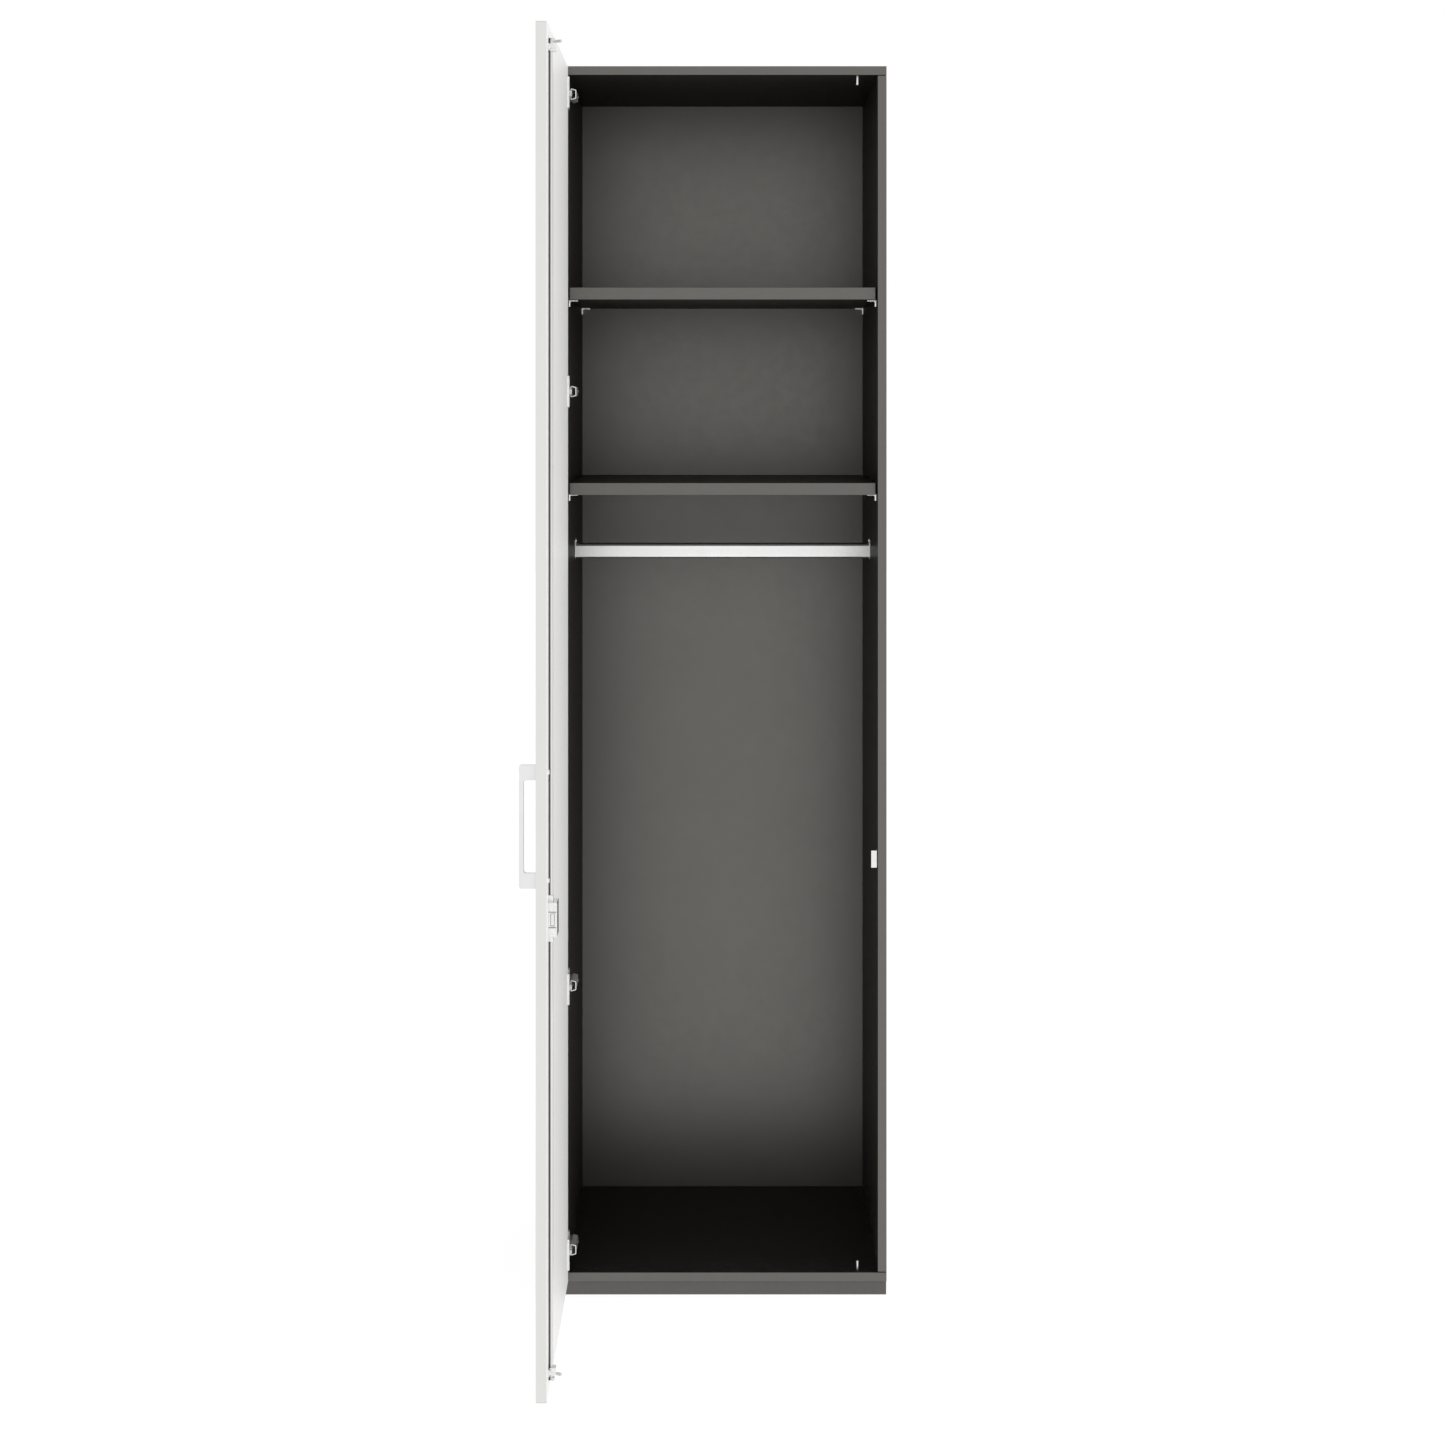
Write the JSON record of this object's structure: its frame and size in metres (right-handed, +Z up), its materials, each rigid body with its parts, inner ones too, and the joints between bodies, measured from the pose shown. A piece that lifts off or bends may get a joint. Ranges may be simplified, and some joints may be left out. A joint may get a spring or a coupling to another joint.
{
  "type": "locker cabinet",
  "caption": "Tall narrow locker cabinet with a hinged white door, shelves, a hanging rail and a rod lock, in dark grey board on a low plinth.",
  "frame": {"origin": "on the floor, under the middle of the carcass", "axes": "+X to the right seen from the front, +Y to the back, +Z up"},
  "size_m": [0.629, 1.161, 2.25],
  "materials": {
    "grey_board": "melamine faced board, fine texture",
    "grey_band": "satin edge band",
    "white_board": "melamine faced board, fine texture",
    "white_band": "satin edge band",
    "nickel_steel": "nickel plated",
    "polished_rail": "polished",
    "satin_handle": "satin",
    "plinth_paint": "powder coat",
    "lock_zinc": "zinc plated",
    "dowel_wood": "plain beech"
  },
  "bodies": {
    "carcass": {"left_side": "grey_board", "right_side": "grey_board", "top_panel": "grey_board", "bottom_panel": "grey_board", "back_panel": "grey_board", "carcass_edge_bands": "grey_band", "carcass_dowels": "dowel_wood", "plinth_frame": "plinth_paint", "plinth_screws": "nickel_steel", "upper_shelf": "grey_board", "lower_shelf": "grey_board", "shelf_edge_bands": "grey_band", "upper_shelf_supports": "nickel_steel", "lower_shelf_supports": "nickel_steel", "hanging_rail": "polished_rail", "left_rail_socket": "nickel_steel", "right_rail_socket": "nickel_steel", "rail_socket_screws": "nickel_steel", "strike": "nickel_steel", "strike_screws": "nickel_steel", "top_lock_pin": "nickel_steel", "bottom_lock_pin": "nickel_steel", "hinge_pins": "nickel_steel", "hinge_plate_screws": "nickel_steel", "hinge_arm_screws": "nickel_steel", "hinge_1_plate": "nickel_steel", "hinge_1_arm": "nickel_steel", "hinge_2_plate": "nickel_steel", "hinge_2_arm": "nickel_steel", "hinge_3_plate": "nickel_steel", "hinge_3_arm": "nickel_steel", "hinge_4_plate": "nickel_steel", "hinge_4_arm": "nickel_steel"},
    "door": {"door_panel": "white_board", "door_edge_bands": "white_band", "handle": "satin_handle", "handle_screws": "nickel_steel", "hinge_cup_screws": "nickel_steel", "lock_case": "lock_zinc", "lock_cover": "lock_zinc", "lock_screws": "nickel_steel", "lock_cylinder": "nickel_steel", "lock_rosette": "nickel_steel", "top_rod_guide": "lock_zinc", "bottom_rod_guide": "lock_zinc", "rod_guide_screws": "nickel_steel", "hinge_1_cup": "nickel_steel", "hinge_2_cup": "nickel_steel", "hinge_3_cup": "nickel_steel", "hinge_4_cup": "nickel_steel"},
    "lock_rods": {"upper_rod": "nickel_steel", "lower_rod": "nickel_steel", "rod_spindle": "nickel_steel", "top_hook": "nickel_steel", "bottom_hook": "nickel_steel"},
    "bolt": {"lock_bolt": "nickel_steel"},
    "plug": {"key_plug": "nickel_steel", "plug_pinion": "nickel_steel"}
  },
  "joints": [
    {"name": "door_swing", "type": "hinge", "parent": "carcass", "child": "door", "pos_m": [-0.2906, -0.2919, 0], "axis": [0, 0, 1], "range_deg": [-20, 90]},
    {"name": "rod_turn", "type": "hinge", "parent": "door", "child": "lock_rods", "pos_m": [-0.2783, -0.836, 0], "axis": [0, 0, -1], "range_deg": [0, 45]},
    {"name": "bolt_throw", "type": "slide", "parent": "door", "child": "bolt", "axis": [0, -1, 0], "range_m": [0, 0.00597]},
    {"name": "plug_turn", "type": "hinge", "parent": "door", "child": "plug", "pos_m": [0, -0.825, 0.8], "axis": [1, 0, 0], "range_deg": [0, 90]}
  ],
  "couplings": [
    {"joint": "bolt_throw", "follows": "rod_turn", "m_per_rad": 0.0076},
    {"joint": "plug_turn", "follows": "rod_turn", "ratio": 2}
  ]
}
